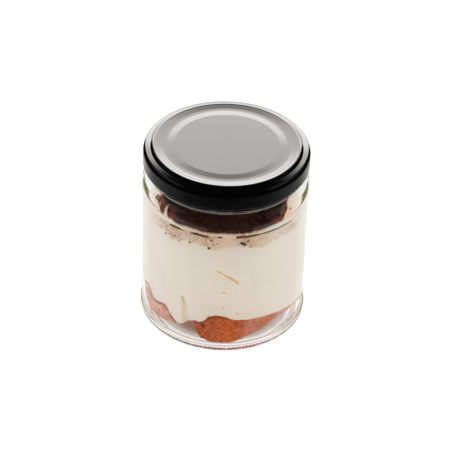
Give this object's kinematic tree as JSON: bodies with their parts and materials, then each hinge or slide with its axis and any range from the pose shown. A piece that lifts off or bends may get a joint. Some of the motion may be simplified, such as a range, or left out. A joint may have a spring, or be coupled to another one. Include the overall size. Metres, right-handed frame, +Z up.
{
  "type": "tiramisu in a lidded glass jar",
  "caption": "Layered tiramisu dessert shut in a small straight-sided round glass jar with a glossy black twist-off metal lid.",
  "frame": {"origin": "middle of the jar's base, on the surface that it stands on", "axes": "+Z up along the jar's axis; -Y is the front, where the two front ladyfinger pieces show; +X is to the right"},
  "size_m": [0.0742, 0.0744, 0.087],
  "materials": {
    "clear_glass": "clear, smooth, with a stippled heel",
    "lid_enamel": "glossy black enamel on pressed sheet",
    "cream": "soft smooth mascarpone cream",
    "cocoa": "moist dark cocoa dusting",
    "ladyfinger": "coffee-soaked porous sponge biscuit"
  },
  "bodies": {
    "root": {"glass_jar": "clear_glass", "lid": "lid_enamel", "cream": "cream", "cocoa": "cocoa", "ladyfinger_front": "ladyfinger", "ladyfinger_left": "ladyfinger", "ladyfinger_back": "ladyfinger"}
  },
  "joints": []
}
